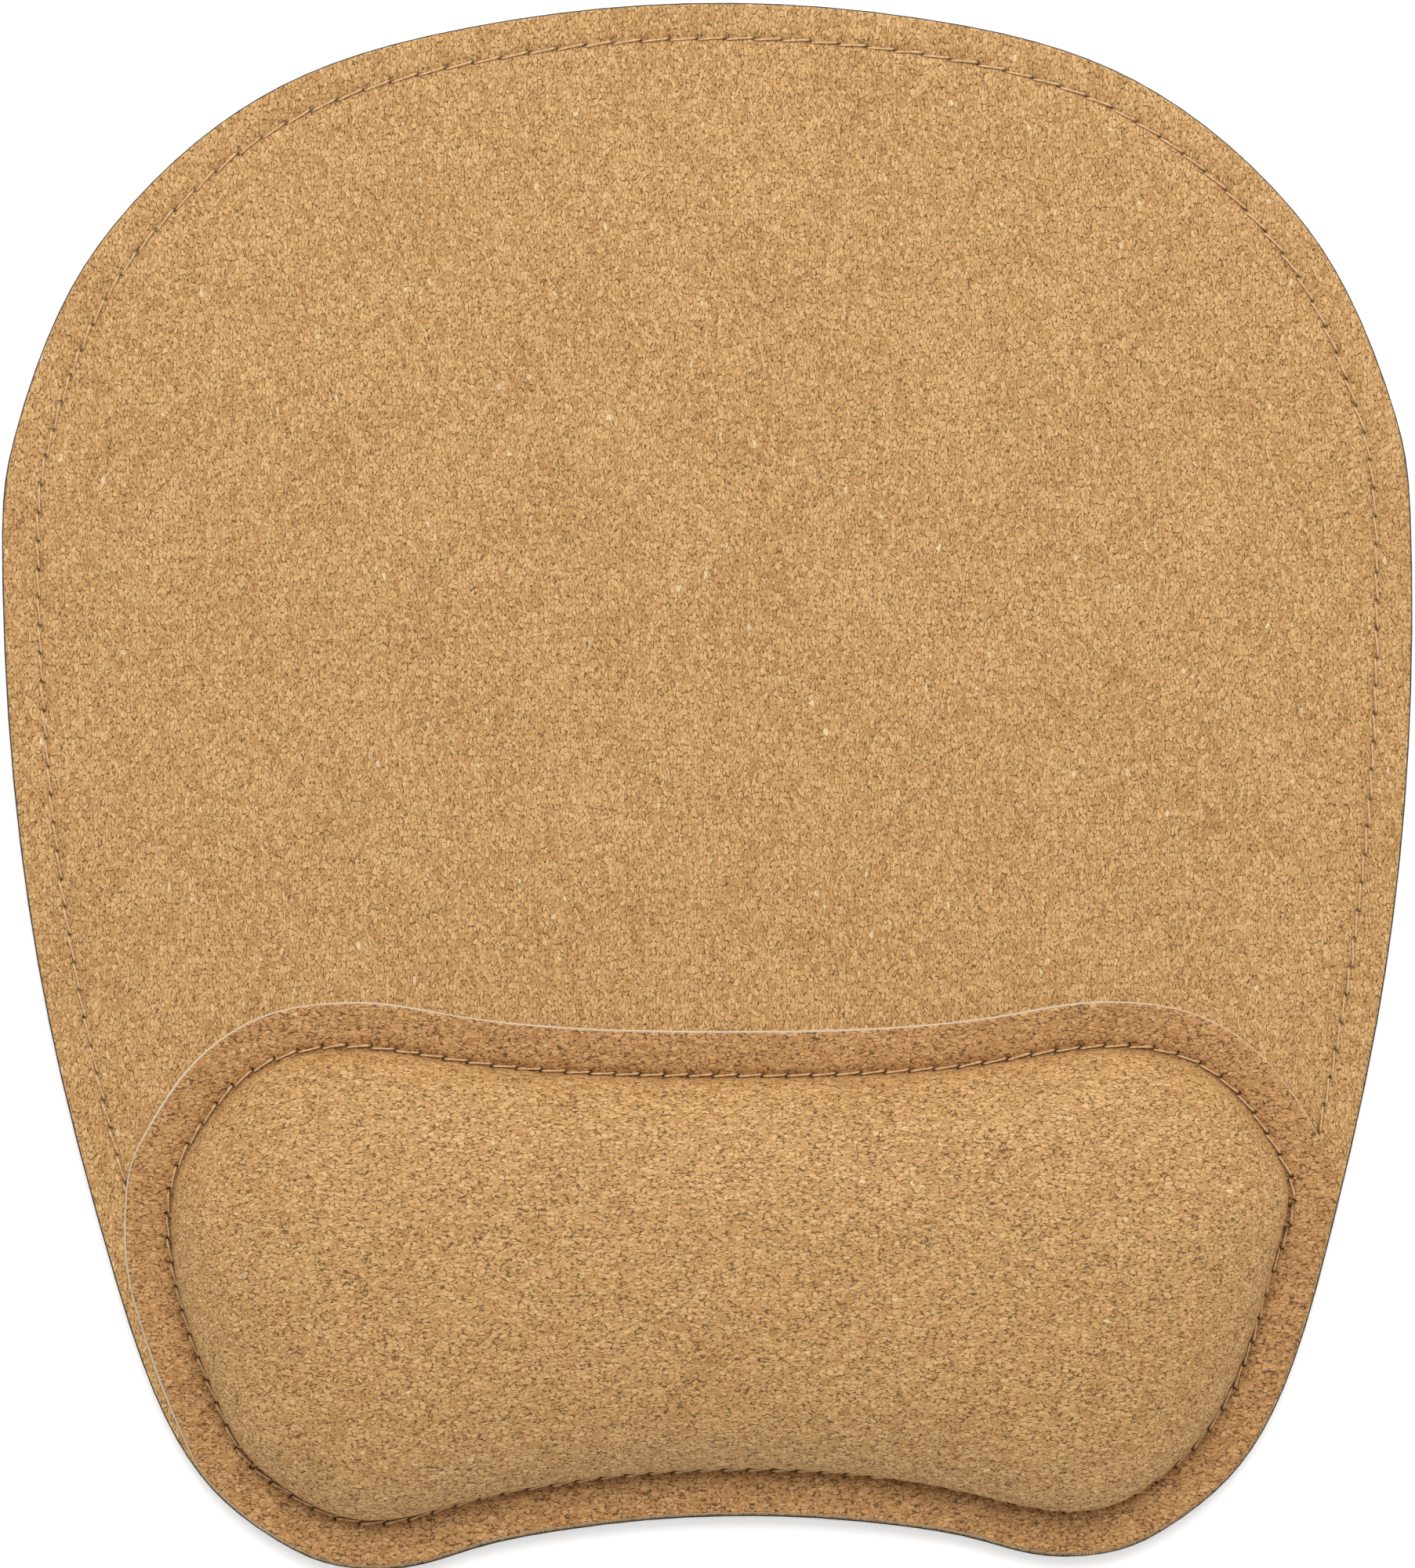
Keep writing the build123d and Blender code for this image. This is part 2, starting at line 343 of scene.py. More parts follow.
def set_attribute(piece, name, values):
    """Stores one number for each point, for a material to read."""
    layer = piece.data.attributes.new(name, "FLOAT", "POINT")
    layer.data.foreach_set("value", np.asarray(values, dtype=np.float32))


def smooth(piece):
    """Shades a piece smooth, with its sharp edges kept."""
    pick(piece)
    bpy.ops.object.shade_smooth_by_angle(angle=SMOOTH_ANGLE)


def finished(piece, node_names, material):
    """Gives a piece its material and its body, and hides the CAD nodes it stands for."""
    piece.data.materials.clear()
    piece.data.materials.append(material)
    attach(piece, "root")
    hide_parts(*node_names)


# ---- materials ----------------------------------------------------------------------

RUDDY_CORK = (0.40, 0.17, 0.06)
# flange tint: the pressed cork's own darker colour together with painted shade from the cushion
# beside it
PRESSED_AND_SHADED_TINT = (0.9, 0.83, 0.8)
# painted shade in the needle holes and along the rest's seam crease
PAINTED_SEAM_SHADE_COLOUR = (0.045, 0.022, 0.01)
# painted shade on the thread where it dives into its holes
SUNK_THREAD_SHADE = (0.16, 0.07, 0.025)
CORK_RELIEF = 0.09 * MM
WEAVE_THREAD = 0.35 * MM
WEAVE_RELIEF = 0.08 * MM
FOAM_CELLS_PER_METRE = 1600
FOAM_RELIEF = 0.2 * MM
RUBBER_CELLS_PER_METRE = 420
RUBBER_RELIEF = 0.3 * MM
FIBRES_PER_METRE = 2600
FIBRE_RELIEF = 0.05 * MM
PATCHES_PER_METRE = 60
MATT_GLOSS = 0.25
LINING_SHADE = (0.86, 0.74, 0.55)
BACKING_SHADE = (0.75, 0.66, 0.5)
FILLING_SHADE = (0.8, 0.74, 0.6)
CORE_SHADE = (0.12, 0.12, 0.12)
RUBBER_SHADE = (0.075, 0.072, 0.058)
WHITE = (1.0, 1.0, 1.0)


class Shading:
    """A material under construction: adds nodes and links them by name."""

    def __init__(self, name, dimensions="3D"):
        self.dimensions = dimensions
        self.material = bpy.data.materials.new(name)
        self.material.use_nodes = True
        self.tree = self.material.node_tree
        self.shader = self.tree.nodes["Principled BSDF"]

    def add(self, kind, settings=(), **inputs):
        """Adds a node; inputs are values or other nodes' sockets."""
        node = self.tree.nodes.new(kind)
        for name, value in dict(settings).items():
            setattr(node, name, value)
        for name, value in inputs.items():
            self.put(node, name.replace("_", " "), value)
        return node

    def put(self, node, name, value):
        """Sets or links an input, given by its name or, as i0 or i1, by its number."""
        key = int(name[1:]) if name[0] == "i" and name[1:].isdigit() else name
        socket = node.inputs[key]
        if isinstance(value, bpy.types.NodeSocket):
            self.tree.links.new(value, socket)
        else:
            socket.default_value = value

    def place(self, scale):
        """Object coordinates, in cells of a pattern: scale is cells per metre each way."""
        spot = self.add("ShaderNodeTexCoord").outputs["Object"]
        return self.add("ShaderNodeMapping", Vector=spot, Scale=scale).outputs["Vector"]

    def math(self, operation, first, second=0.0, third=0.0):
        node = self.add("ShaderNodeMath", {"operation": operation})
        for index, value in enumerate((first, second, third)):
            self.put(node, f"i{index}", value)
        return node.outputs[0]

    def between(self, value, low, high):
        """0 at low and below, 1 at high and above, smooth between."""
        node = self.add("ShaderNodeMapRange", {"interpolation_type": "SMOOTHSTEP"}, Value=value)
        self.put(node, "From Min", low)
        self.put(node, "From Max", high)
        return node.outputs[0]

    def mix(self, share, first, second, blend="MIX"):
        node = self.add("ShaderNodeMix", {"data_type": "RGBA", "blend_type": blend})
        self.put(node, "i0", share)
        for key, part in (("i6", first), ("i7", second)):
            linked = isinstance(part, bpy.types.NodeSocket)
            self.put(node, key, part if linked else solid(part))
        return node.outputs[2]

    def ramp(self, value, stops):
        node = self.add("ShaderNodeValToRGB", Fac=value)
        bands = node.color_ramp.elements
        while len(bands) < len(stops):
            bands.new(0.5)
        for band, (position, shade) in zip(bands, stops):
            band.position = position
            band.color = solid(shade)
        return node.outputs["Color"]

    def noise(self, vector, scale, detail=2.0, roughness=0.5):
        return self.add(
            "ShaderNodeTexNoise",
            {"noise_dimensions": self.dimensions},
            Vector=vector,
            Scale=scale,
            Detail=detail,
            Roughness=roughness,
        )

    def cells(self, vector, scale, feature="F1"):
        settings = {"voronoi_dimensions": self.dimensions, "feature": feature}
        return self.add("ShaderNodeTexVoronoi", settings, Vector=vector, Scale=scale)

    def read(self, name):
        return self.add("ShaderNodeAttribute", {"attribute_name": name}).outputs["Fac"]

    def bump(self, height, strength, distance):
        node = self.add("ShaderNodeBump", Height=height, Strength=strength, Distance=distance)
        return node.outputs["Normal"]

    def finish(self, base, roughness, normal=None):
        self.put(self.shader, "Specular IOR Level", MATT_GLOSS)
        self.put(self.shader, "Base Color", base)
        self.put(self.shader, "Roughness", roughness)
        if normal is not None:
            self.put(self.shader, "Normal", normal)
        return self.material


def solid(shade):
    """A colour with full alpha."""
    return (shade[0], shade[1], shade[2], 1.0)


def cork(name, settings, along_x, dimensions):
    """Agglomerated cork skin: stretched granules with crevices, bark specks and pale flecks."""
    surface = Shading(name, dimensions)
    across = 1 / settings.granule
    along = across / settings.stretch
    scale = (along, across, across) if along_x else (across, along, across)
    spot = surface.place(scale)
    wander = surface.noise(spot, 0.55, 2.0).outputs["Color"]
    jitter = surface.noise(spot, 2.3, 1.0).outputs["Color"]
    for push, size in ((wander, 1.1), (jitter, 0.38)):
        shifted = surface.add("ShaderNodeVectorMath", {"operation": "MULTIPLY_ADD"})
        surface.put(shifted, "i0", push)
        surface.put(shifted, "i1", (size,) * 3)
        surface.put(shifted, "i2", spot)
        spot = shifted.outputs[0]

    granules = surface.cells(spot, 1.0)
    chances = surface.add("ShaderNodeSeparateColor", Color=granules.outputs["Color"])
    borders = surface.cells(spot, 1.0, "DISTANCE_TO_EDGE").outputs["Distance"]
    fine = surface.noise(spot, 3.6, 2.0, 0.6).outputs["Fac"]
    broad = surface.noise(surface.place((PATCHES_PER_METRE,) * 3), 1.0, 1.0).outputs["Fac"]
    patch = surface.noise(spot, 0.8, 1.0).outputs["Fac"]

    tone = surface.math("MULTIPLY_ADD", chances.outputs[0], 0.5, -0.55)
    tone = surface.math("MULTIPLY_ADD", fine, 1.15, tone)
    tone = surface.math("MULTIPLY_ADD", broad, 0.2, tone)
    tone = surface.math("MULTIPLY_ADD", patch, 0.35, tone)
    midway = [0.5 * (a + b) for a, b in zip(settings.middle, settings.light)]
    shade = surface.ramp(
        tone,
        [(0.12, settings.dark), (0.42, settings.middle), (0.62, midway), (0.88, settings.light)],
    )
    ruddy = surface.between(chances.outputs[1], 0.80, 0.9)
    shade = surface.mix(surface.math("MULTIPLY", ruddy, 0.3), shade, RUDDY_CORK)
    rim = surface.between(borders, 0.24, 0.02)
    shade = surface.mix(surface.math("MULTIPLY", rim, 0.34), shade, settings.dark)
    gap = surface.between(surface.noise(spot, 1.35, 1.0).outputs["Fac"], 0.53, 0.42)
    crevice = surface.math("MULTIPLY", surface.between(borders, 0.12, 0.045), gap)
    specks = surface.between(surface.noise(spot, 2.6, 1.0).outputs["Fac"], 0.33, 0.24)
    bark = surface.math("MAXIMUM", crevice, specks)
    shade = surface.mix(surface.math("MULTIPLY", bark, 0.8), shade, settings.bark)
    fleck = surface.between(chances.outputs[2], 0.9975, 0.9985)
    shade = surface.mix(surface.math("MULTIPLY", fleck, 0.5), shade, settings.fleck)

    # flange darkened and reddened: partly the pressed cork's own colour, partly painted shade
    # from the cushion
    pressed_and_shaded = surface.read("pressed_and_shaded")
    shade = surface.mix(pressed_and_shaded, shade, PRESSED_AND_SHADED_TINT, "MULTIPLY")
    # painted shade in needle holes and seam creases
    shade = surface.mix(surface.read("painted_seam_shade"), shade, PAINTED_SEAM_SHADE_COLOUR)
    height = surface.math("MULTIPLY_ADD", fine, 0.55, surface.between(borders, 0.0, 0.16))
    height = surface.math("SUBTRACT", height, bark)
    rough = surface.math("MULTIPLY_ADD", fine, 0.25, 0.44)
    return surface.finish(shade, rough, surface.bump(height, 0.5, CORK_RELIEF))


def woven(name, shade):
    """Plain woven fabric in one colour."""
    surface = Shading(name)
    spot = surface.place((1 / WEAVE_THREAD,) * 3)
    warp = surface.add("ShaderNodeTexWave", {"bands_direction": "X"}, Vector=spot, Scale=0.5)
    weft = surface.add("ShaderNodeTexWave", {"bands_direction": "Y"}, Vector=spot, Scale=0.5)
    weave = surface.math("MAXIMUM", warp.outputs["Fac"], weft.outputs["Fac"])
    fuzz = surface.noise(spot, 1.3, 3.0, 0.7).outputs["Fac"]
    tint = surface.math("MULTIPLY_ADD", fuzz, 0.5, surface.math("MULTIPLY", weave, 0.3))
    dim = [0.72 * value for value in shade]
    colour_of_it = surface.ramp(tint, [(0.15, dim), (0.75, shade)])
    return surface.finish(colour_of_it, 0.88, surface.bump(weave, 0.5, WEAVE_RELIEF))


def foam(name, shade):
    """Fine open-celled foam."""
    surface = Shading(name)
    spot = surface.place((FOAM_CELLS_PER_METRE,) * 3)
    pores = surface.cells(spot, 1.0).outputs["Distance"]
    shadow = [0.55 * value for value in shade]
    colour_of_it = surface.ramp(pores, [(0.1, shadow), (0.55, shade)])
    return surface.finish(colour_of_it, 0.92, surface.bump(pores, 0.6, FOAM_RELIEF))


def ribbed_rubber(name, shade):
    """Dark anti-slip rubber with a fine diamond relief."""
    surface = Shading(name)
    spot = surface.place((RUBBER_CELLS_PER_METRE,) * 3)
    bands = {"bands_direction": "DIAGONAL"}
    one = surface.add("ShaderNodeTexWave", bands, Vector=spot, Scale=0.8)
    turned = surface.add("ShaderNodeMapping", Vector=spot, Scale=(-1.0, 1.0, 1.0))
    two = surface.add("ShaderNodeTexWave", bands, Vector=turned.outputs[0], Scale=0.8)
    relief = surface.math("MULTIPLY", one.outputs["Fac"], two.outputs["Fac"])
    dust = surface.noise(spot, 1.7, 4.0, 0.7).outputs["Fac"]
    pale = [min(1.0, 2.1 * value) for value in shade]
    tint = surface.math("MULTIPLY_ADD", relief, 0.35, surface.math("MULTIPLY", dust, 0.6))
    colour_of_it = surface.ramp(tint, [(0.2, shade), (0.95, pale)])
    return surface.finish(colour_of_it, 0.78, surface.bump(relief, 0.7, RUBBER_RELIEF))


def twisted_thread(name, shade):
    """Matt polyester sewing thread with fine fibres."""
    surface = Shading(name)
    spot = surface.place((FIBRES_PER_METRE,) * 3)
    fibre = surface.noise(spot, 1.0, 3.0, 0.6).outputs["Fac"]
    deep = [0.55 * value for value in shade]
    colour_of_it = surface.ramp(fibre, [(0.25, deep), (0.7, shade)])
    # painted shade where the thread dives below the cork
    colour_of_it = surface.mix(surface.read("painted_sunk_shade"), colour_of_it, SUNK_THREAD_SHADE)
    return surface.finish(colour_of_it, 0.7, surface.bump(fibre, 0.4, FIBRE_RELIEF))


# ---- the mat ------------------------------------------------------------------------

SEAM_FROM_CORK_EDGE = 5.3 * MM
SEAM_FADE = 4 * MM
CUT_EDGE_DROPS = (0.12 * MM, 0.02 * MM)
CUT_EDGE_SPREAD = 0.12
HOLE_SHARES = ((-2, 0.12), (-1, 0.5), (0, 1.0), (1, 0.5), (2, 0.12))
# how dark the painted shade in each needle hole is
HOLE_PAINTED_SHADE = 0.9
LEAST_CORK = 0.05 * MM
EDGE_STEPS = [0.12, 0.28, 0.8, 1.4, 1.2, 0.6, 0.45, 0.25, 0.2, 0.2, 0.25, 0.45, 0.8, 2.0]
EDGE_SEAM_RING = 9


def along_seam(places):
    """Sorts stitches anticlockwise from the front and turns them all the same way."""
    middles = np.array([place[0] for place in places])
    centre = (middles.max(axis=0) + middles.min(axis=0)) / 2

    def turn(place):
        x, y = place[0] - centre
        return (math.atan2(y, x) + math.pi / 2) % (2 * math.pi)

    ordered = []
    for middle, direction, size in sorted(places, key=turn):
        out = middle - centre
        clockwise = out[0] * direction[1] - out[1] * direction[0] < 0
        ordered.append((middle, -direction if clockwise else direction, size))
    return ordered


def seam_pitch(places):
    """The usual distance from one stitch to the next."""
    middles = np.array([place[0] for place in places])
    return float(np.median(np.hypot(*np.diff(middles, axis=0).T)))


def sink_holes(line, holes):
    """The index of the seam point nearest each hole, and the way to it."""
    found = [int(np.hypot(*(line - hole).T).argmin()) for hole in holes]
    return [(index, hole - line[index]) for index, hole in zip(found, holes)]


def mat_cork_skin(mat, material):
    """The cork sheet of the mat, pulled in along its edge seam."""
    low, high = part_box("mat_cork")
    points = even(outline("mat_cork", low.z), mat.loop_points)
    piece = plate("mat_cork_skin", points, low.z)
    bpy.ops.mesh.extrude_region_move(TRANSFORM_OT_translate={"value": (0, 0, high.z - low.z)})
    rings = inset_rings(piece, [step * MM for step in EDGE_STEPS])
    bpy.ops.object.mode_set(mode="OBJECT")
    spots = ring_points(piece, rings)

    depths = np.cumsum([0] + EDGE_STEPS) * MM
    places = along_seam(stitch_places("edge_needle_thread"))
    holes = needle_holes(places, seam_pitch(places))
    reach = holes[:, 1].min()
    sewn = np.clip((spots[EDGE_SEAM_RING, :, 1] - reach) / SEAM_FADE + 1, 0, 1)
    furrow = np.exp(-(((depths - SEAM_FROM_CORK_EDGE) / mat.furrow_width) ** 2))
    spots[:, :, 2] -= furrow[:, None] * sewn[None, :] * mat.furrow_depth
    for ring, drop in enumerate(CUT_EDGE_DROPS):
        spots[ring, :, 2] -= drop
    out = spots[0, :, :2] - spots[1, :, :2]
    spots[0, :, :2] += out * (CUT_EDGE_SPREAD / EDGE_STEPS[0])
    # painted shade in each needle hole of the edge seam
    painted_seam_shade = np.zeros(spots.shape[:2])
    for index, shift in sink_holes(spots[EDGE_SEAM_RING, :, :2], holes):
        for ring, share in HOLE_SHARES:
            spots[EDGE_SEAM_RING + ring, index, :2] += shift * min(1, 2 * share)
            spots[EDGE_SEAM_RING + ring, index, 2] -= share * mat.hole_depth
            painted_seam_shade[EDGE_SEAM_RING + ring, index] = share * HOLE_PAINTED_SHADE
    spots[:, :, 2] = np.maximum(spots[:, :, 2], low.z + LEAST_CORK)
    move_rings(piece, rings, spots)
    values = np.zeros(len(piece.data.vertices))
    values[np.array(rings).ravel()] = painted_seam_shade.ravel()
    set_attribute(piece, "painted_seam_shade", values)
    smooth(piece)
    finished(piece, ["mat_cork"], material)


# ---- the wrist rest -----------------------------------------------------------------

RIM_STEPS = [0.1, 0.25, 0.85, 1.6, 1.6, 1.0, 0.6, 0.4, 0.22, 0.18, 0.18, 0.22]
REST_SEAM_RING = 10
DOME_RINGS = 24
TINY_INSET = 0.02 * MM
FLANGE_TOP = 4.7 * MM
FLANGE_EDGE_DROPS = (0.14 * MM, 0.03 * MM)
VALLEY_WIDTH = 0.75 * MM
EASED_FROM, EASED_TO = 3, 8
PUCKER_SHARES = ((-3, 0.12), (-2, 0.4), (-1, 0.8), (0, 1.0), (1, 1.0), (2, 0.8), (3, 0.4))
PUCKER_DEPTH = 0.3 * MM
# how dark the painted shade in each pucker is
PUCKER_PAINTED_SHADE = 0.7
PUCKER_PULL = 0.55 * MM
PUCKER_FADE = 3.4 * MM
PUCKERS_PER_METRE = 90
SLUMP_SPAN = (12 * MM, 46 * MM, 60 * MM, 80 * MM)
DOME_END = 0.35
OVERHANG_TOP = 0.62
COVER_THICKNESS = 0.8 * MM
LINING_DEPTH = 0.81 * MM
LINING_THICKNESS = 0.28 * MM
FILLING_DEPTH = 1.15 * MM
FRAYS_PER_METRE = 60


def eased(line, reach):
    """A closed line smoothed over about that many points each way."""
    if reach < 0.5:
        return line
    offsets = np.arange(-int(3 * reach), int(3 * reach) + 1)
    weights = np.exp(-((offsets / reach) ** 2) / 2)
    rolled = (np.roll(line, int(offset), axis=0) for offset in offsets)
    total = sum(weight * moved for weight, moved in zip(weights, rolled))
    return total / weights.sum()


def blob(values, start, full, fading, end):
    """Rises from start to full and falls from fading to end, smoothly."""
    rise = np.clip((values - start) / (full - start), 0, 1)
    fall = np.clip((end - values) / (end - fading), 0, 1)
    share = np.minimum(rise, fall)
    return share * share * (3 - 2 * share)


def cushion_surface(rest, rings, spots, holes):
    """Fills the rings inside the seam out to the cushion's shape."""
    foot = spots[REST_SEAM_RING + 2]
    line = spots[REST_SEAM_RING]
    low, high = foot[:, :2].min(axis=0), foot[:, :2].max(axis=0)
    middle = (low + high) / 2
    half_width, half_depth = (high - low) / 2
    spine = half_width - half_depth
    across = foot[:, 0] - middle[0]
    core = np.column_stack(
        [middle[0] + spine * np.tanh(across / spine), np.full(len(foot), middle[1])]
    )
    inward = core - foot[:, :2]
    inward /= np.hypot(*inward.T)[:, None]
    gaps = distances(line[:, :2], holes)
    pitch = gaps.max() * 2
    pull = np.clip(1 - 2 * gaps / pitch, 0, 1) ** 1.5
    scaled = line[:, :2] * PUCKERS_PER_METRE
    strength = np.array([0.55 + 0.9 * noise.noise((x, y, 3.1)) for x, y in scaled])
    pull *= np.clip(strength, 0.15, 1.2)
    slump = rest.slump * blob(foot[:, 0], *SLUMP_SPAN)
    slump *= foot[:, 1] < middle[1]

    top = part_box("rest_cork")[1].z
    start = foot[0, 2]
    count = len(rings) - (REST_SEAM_RING + 3)
    for number in range(count):
        angle = math.pi / 2 * (number + 1) / (count + DOME_END)
        share = 1 - math.cos(angle) ** (2 / rest.fullness)
        rise = math.sin(angle) ** (2 / rest.fullness)
        place = foot[:, :2] * (1 - share) + core * share
        hang = math.sin(math.pi * min(1, rise / OVERHANG_TOP)) ** 1.2
        place -= inward * ((rest.bulge + slump) * hang)[:, None]
        crease = math.exp(-rise * (top - start) / PUCKER_FADE)
        place += inward * (pull * PUCKER_PULL * crease)[:, None]
        spots[REST_SEAM_RING + 3 + number, :, :2] = place
        spots[REST_SEAM_RING + 3 + number, :, 2] = start + (top - start) * rise
    return pull


def rest_surface(rest):
    """The open upper surface of the rest's cover and its rings, with painted seam shade and the
    flange's pressed-and-shaded tint stored on its points.
    """
    points = even(outline("rest_cork", FLANGE_TOP), rest.loop_points)
    piece = plate("rest_cover", points, FLANGE_TOP)
    steps = [step * MM for step in RIM_STEPS] + [TINY_INSET] * DOME_RINGS
    rings = inset_rings(piece, steps)
    bpy.ops.object.mode_set(mode="OBJECT")
    spots = ring_points(piece, rings)

    depths = np.cumsum([0] + RIM_STEPS) * MM
    flange = slice(0, len(RIM_STEPS) + 1)
    eased_from, eased_over = depths[EASED_FROM], depths[EASED_TO] - depths[EASED_FROM]
    for number, depth in enumerate(depths):
        reach = rest.corner_rounding * min(1, max(0, (depth - eased_from) / eased_over))
        spots[number, :, :2] = eased(spots[number, :, :2], reach)
    dip = np.exp(-(((depths - depths[REST_SEAM_RING]) / VALLEY_WIDTH) ** 2))
    spots[flange, :, 2] -= dip[:, None] * rest.valley
    for ring, drop in enumerate(FLANGE_EDGE_DROPS):
        spots[ring, :, 2] -= drop
    places = along_seam(stitch_places("rest_needle_thread"))
    holes = needle_holes(places, seam_pitch(places))
    pull = cushion_surface(rest, rings, spots, holes)
    painted_seam_shade = np.zeros(spots.shape[:2])
    # painted shade along the seam's valley, deeper where the stitches pull, darkest in each
    # pucker
    painted_seam_shade[REST_SEAM_RING - 1 : REST_SEAM_RING + 4] = 0.12 + 0.25 * pull
    for index, shift in sink_holes(spots[REST_SEAM_RING, :, :2], holes):
        for ring, share in PUCKER_SHARES:
            spots[REST_SEAM_RING + ring, index, :2] += shift * min(1, 2 * share)
            spots[REST_SEAM_RING + ring, index, 2] -= share * PUCKER_DEPTH
            painted_seam_shade[REST_SEAM_RING + ring, index] = share * PUCKER_PAINTED_SHADE
    move_rings(piece, rings, spots)
    values = np.zeros(len(piece.data.vertices))
    values[np.array(rings).ravel()] = painted_seam_shade.ravel()
    set_attribute(piece, "painted_seam_shade", values)
    # marks the flange for its tint: pressed cork colour plus painted shade from the cushion
    pressed_and_shaded = np.ones(len(piece.data.vertices))
    pressed_and_shaded[np.array(rings[REST_SEAM_RING + 4 :]).ravel()] = 0
    set_attribute(piece, "pressed_and_shaded", pressed_and_shaded)
    return piece, rings


def thicken(piece, thickness):
    """Gives an open surface its thickness, downwards and inwards."""
    pick(piece)
    wall = piece.modifiers.new("Wall", "SOLIDIFY")
    wall.thickness = thickness
    wall.offset = -1
    bpy.ops.object.modifier_apply(modifier=wall.name)
    smooth(piece)


def inner_copy(piece, name, depth):
    """A copy of a surface, moved inwards along its normals."""
    copy = piece.copy()
    copy.data = piece.data.copy()
    copy.name = copy.data.name = name
    bpy.context.collection.objects.link(copy)
    pick(copy)
    bpy.ops.object.mode_set(mode="EDIT")
    bpy.ops.mesh.select_all(action="SELECT")
    bpy.ops.transform.shrink_fatten(value=-depth)
    bpy.ops.object.mode_set(mode="OBJECT")
    return copy


def fray_rim(piece, rings, width):
    """Sets the lining's rim out past the cork's, unevenly, so that its cut edge shows."""
    spots = ring_points(piece, rings[:5])
    out = spots[3, :, :2] - spots[4, :, :2]
    out /= np.hypot(*out.T)[:, None]
    chance = [noise.noise((x, y, 8.3)) for x, y in spots[0, :, :2] * FRAYS_PER_METRE]
    share = 0.75 + 0.3 * np.array(chance) - 0.4 * out[:, 0]
    for ring, part in ((0, 1.0), (1, 0.4), (2, 0.0)):
        reach = sum(RIM_STEPS[ring:4]) * MM + width * part * share
        spots[ring, :, :2] = spots[4, :, :2] + out * reach[:, None]
        spots[ring, :, 2] = spots[4, :, 2]
    move_rings(piece, rings[:3], spots[:3])


def rest_filling(cover, rings, material):
    """The foam inside the cover, on a flat bottom."""
    inner = inner_copy(cover, "inner", FILLING_DEPTH)
    dome = ring_points(inner, rings[REST_SEAM_RING + 4 :])
    bpy.data.objects.remove(inner)
    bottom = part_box("rest_foam")[0].z + TINY_INSET
    piece = plate("rest_filling", dome[0, :, :2], bottom)
    bpy.ops.mesh.extrude_region_move(
        TRANSFORM_OT_translate={"value": (0, 0, dome[0, :, 2].mean() - bottom)}
    )
    shells = inset_rings(piece, [TINY_INSET] * (len(dome) - 1))
    bpy.ops.object.mode_set(mode="OBJECT")
    first = np.hypot(*(ring_points(piece, shells[:1])[0] - dome[0, 0])[:, :2].T).argmin()
    move_rings(piece, [shell[first:] + shell[:first] for shell in shells], dome)
    smooth(piece)
    finished(piece, ["rest_foam"], material)


# ---- the stitches -------------------------------------------------------------------

# each section of a stitch: its place along it, its height and its width, as shares
STITCH_SECTIONS = (
    (0, -0.75, 0.62),
    (0.05, -0.2, 0.92),
    (0.14, 0.5, 1.06),
    (0.28, 0.95, 1.08),
    (0.44, 1.0, 1.02),
    (0.6, 0.86, 0.96),
    (0.76, 0.62, 0.9),
    (0.92, 0.28, 0.8),
    (1.0, -0.7, 0.55),
)
STITCH_OVERLAP = 0.06 * MM
PLY_HOLLOW = 0.72
TWIST_PER_METRE = math.radians(40) / MM
# painted shade on the thread starts below this share of a stitch's rise
SUNK_BELOW = 0.55
UNEVEN_HEIGHT = 0.05 * MM
UNEVEN_SLANT = 0.6
UNEVEN_ROLL = 0.5
UNEVEN_WIDTH = 0.1


def one_stitch(thread, pitch):
    """A twisted three-ply stitch along x that rises from one hole and dives into the next."""
    nothing_selected()
    radius = thread.thickness / 2
    reach = pitch / 2 + STITCH_OVERLAP
    bpy.ops.mesh.primitive_circle_add(
        vertices=6, radius=radius, fill_type="NGON", location=(0, 0, 0), rotation=(0, 0, 0)
    )
    piece = bpy.context.object
    piece.name = piece.data.name = "stitch"
    for number in (0, 2, 4):
        corner = piece.data.vertices[number]
        corner.co *= PLY_HOLLOW
    bpy.ops.object.mode_set(mode="EDIT")
    bpy.ops.mesh.select_all(action="SELECT")
    bpy.ops.transform.rotate(value=math.pi / 2, orient_axis="Y", center_override=(0, 0, 0))
    widths = [width for _, _, width in STITCH_SECTIONS]
    spots = [
        (-reach + 2 * reach * place, 0, thread.rise * height)
        for place, height, _ in STITCH_SECTIONS
    ]
    bpy.ops.transform.translate(value=spots[0])
    bpy.ops.transform.resize(value=(1, widths[0], widths[0]), center_override=spots[0])
    for number in range(len(STITCH_SECTIONS) - 1):
        start, end = spots[number], spots[number + 1]
        growth = widths[number + 1] / widths[number]
        step = [b - a for a, b in zip(start, end)]
        bpy.ops.mesh.extrude_region_move(TRANSFORM_OT_translate={"value": step})
        bpy.ops.transform.resize(value=(1, growth, growth), center_override=end)
        twist = TWIST_PER_METRE * step[0]
        bpy.ops.transform.rotate(value=twist, orient_axis="X", center_override=end)
    bpy.ops.mesh.select_all(action="SELECT")
    bpy.ops.mesh.normals_make_consistent(inside=False)
    bpy.ops.object.mode_set(mode="OBJECT")
    bpy.ops.object.shade_smooth()
    # painted shade on the parts of the stitch that dive into the holes
    painted_sunk_shade = [max(0.0, SUNK_BELOW - vert.co.z / thread.rise) for vert in piece.data.vertices]
    set_attribute(piece, "painted_sunk_shade", np.clip(painted_sunk_shade, 0, 1))
    return piece


